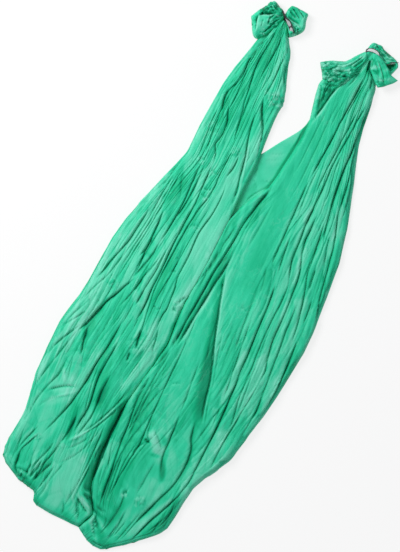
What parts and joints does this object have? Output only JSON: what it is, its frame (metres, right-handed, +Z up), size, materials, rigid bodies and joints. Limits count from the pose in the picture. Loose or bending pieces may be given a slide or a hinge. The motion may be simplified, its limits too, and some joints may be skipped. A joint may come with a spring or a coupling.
{
  "type": "aerial hammock",
  "caption": "Aerial hammock of gathered nylon tricot, laid flat: a pleated pouch, two gathered legs, knotted ends and strap turns; legs, body and knot tail lift.",
  "frame": {"origin": "on the floor, under the middle of the laid hammock", "axes": "+Y runs along the hammock from its seat to its knots, +X is to the right seen from above with the knots away from the viewer, +Z is up"},
  "size_m": [0.9401, 2.3, 0.0556],
  "materials": {
    "tricot": "satin",
    "tricot_shade": "satin",
    "webbing": "matte"
  },
  "bodies": {
    "seat": {"seat_left_lobe": "tricot", "seat_right_lobe": "tricot", "seat_back": "tricot_shade"},
    "pouch": {"pouch_left_front": "tricot", "pouch_right_front": "tricot", "pouch_back": "tricot_shade"},
    "left_end": {"left_leg": "tricot", "left_knot_roll": "tricot", "left_knot_loop": "tricot", "left_webbing": "webbing"},
    "right_end": {"right_leg": "tricot", "right_leg_web": "tricot", "right_knot_neck": "tricot", "right_knot_roll": "tricot", "right_knot_bight": "tricot", "right_webbing": "webbing", "right_eye_strap": "webbing"},
    "right_tail": {"right_knot_tail": "tricot"}
  },
  "joints": [
    {"name": "pouch_lift", "type": "hinge", "parent": "seat", "child": "pouch", "pos_m": [0, -0.632, 0.0413], "axis": [1, 0, 0], "range_deg": [0, 90]},
    {"name": "left_leg_lift", "type": "hinge", "parent": "pouch", "child": "left_end", "pos_m": [-0.16, 0.548, 0.0413], "axis": [1, 0, 0], "range_deg": [0, 150]},
    {"name": "right_leg_lift", "type": "hinge", "parent": "pouch", "child": "right_end", "pos_m": [0.201, 0.548, 0.0413], "axis": [1, 0, 0], "range_deg": [0, 150]},
    {"name": "right_tail_lift", "type": "hinge", "parent": "right_end", "child": "right_tail", "pos_m": [0.205, 1.0892, 0.0523], "axis": [-0.6639, -0.7479, 0], "range_deg": [0, 75]}
  ]
}
